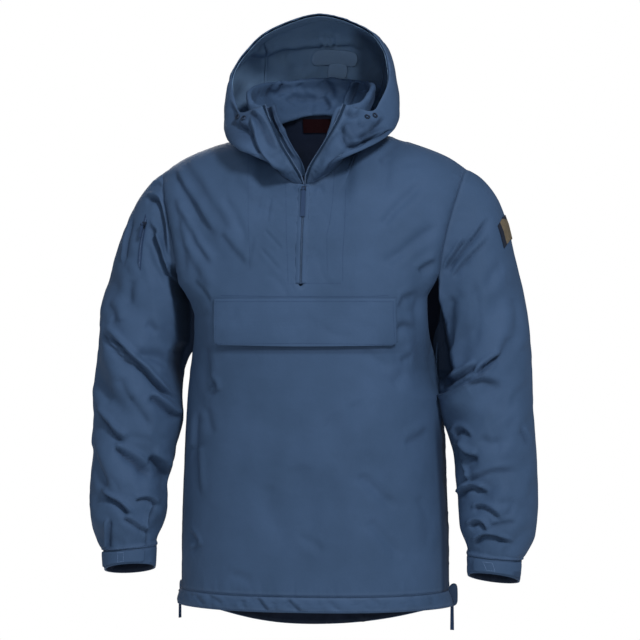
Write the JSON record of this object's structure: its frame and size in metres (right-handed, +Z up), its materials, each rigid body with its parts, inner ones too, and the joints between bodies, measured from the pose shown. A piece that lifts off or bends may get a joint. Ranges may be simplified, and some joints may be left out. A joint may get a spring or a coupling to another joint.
{
  "type": "anorak pullover",
  "caption": "Hooded padded anorak pullover with a half zip, padded stand collar, chest flap pocket, side zips, cuff tabs and a dropped back hem, filled out as worn.",
  "frame": {"origin": "the point midway between the shoulders, at the height of the shoulder seams, where a wearer carries the garment", "axes": "+Z up towards the hood, -Y out of the chest, +X to the wearer's left"},
  "size_m": [0.7369, 0.3229, 1.0156],
  "materials": {
    "shell": "matt navy woven face cloth over thin wadding",
    "lining": "smooth dark navy lining cloth",
    "zip": "dark woven zip tape and strap",
    "metal": "dark satin lacquered zinc",
    "badge": "plain tan patch cloth",
    "label": "plain dark red woven label"
  },
  "bodies": {
    "garment": {"back": "shell", "collar": "shell", "cuff_left": "shell", "cuff_right": "shell", "cuff_tab_left": "shell", "cuff_tab_right": "shell", "front": "shell", "hem_back": "shell", "hem_front": "shell", "hem_tab_left": "shell", "hem_tab_right": "shell", "hood_centre": "shell", "hood_eyelet_1": "metal", "hood_eyelet_2": "metal", "hood_eyelet_3": "metal", "hood_eyelet_4": "metal", "hood_facing": "lining", "hood_left": "shell", "hood_right": "shell", "hood_strap": "shell", "hood_strap_end": "shell", "neck_label": "label", "pocket_flap": "shell", "side_left_slider": "metal", "side_right_slider": "metal", "side_zip_left": "zip", "side_zip_right": "zip", "sleeve_badge": "badge", "sleeve_left": "shell", "sleeve_right": "shell", "sleeve_slider": "metal", "sleeve_zip": "zip", "zip_slider": "metal", "zip_tape": "zip", "zip_tape_left": "zip", "zip_tape_right": "zip"},
    "zip_pull": {"zip_pull": "zip"},
    "side_left_pull": {"side_left_pull": "zip"},
    "side_right_pull": {"side_right_pull": "zip"},
    "sleeve_pull": {"sleeve_pull": "zip"}
  },
  "joints": [
    {"name": "zip_pull_swing", "type": "hinge", "parent": "garment", "child": "zip_pull", "pos_m": [0, -0.13059, -0.08675], "axis": [-1, 0, 0], "range_deg": [0, 100]},
    {"name": "side_left_pull_swing", "type": "hinge", "parent": "garment", "child": "side_left_pull", "pos_m": [0.22603, 0, -0.757], "axis": [0, -1, 0], "range_deg": [0, 80]},
    {"name": "side_right_pull_swing", "type": "hinge", "parent": "garment", "child": "side_right_pull", "pos_m": [-0.2259, 0, -0.744], "axis": [0, 1, 0], "range_deg": [0, 80]},
    {"name": "sleeve_pull_swing", "type": "hinge", "parent": "garment", "child": "sleeve_pull", "pos_m": [-0.27308, -0.07723, -0.1402], "axis": [-0.9272, 0.3706, 0.0544], "range_deg": [0, 100]}
  ]
}
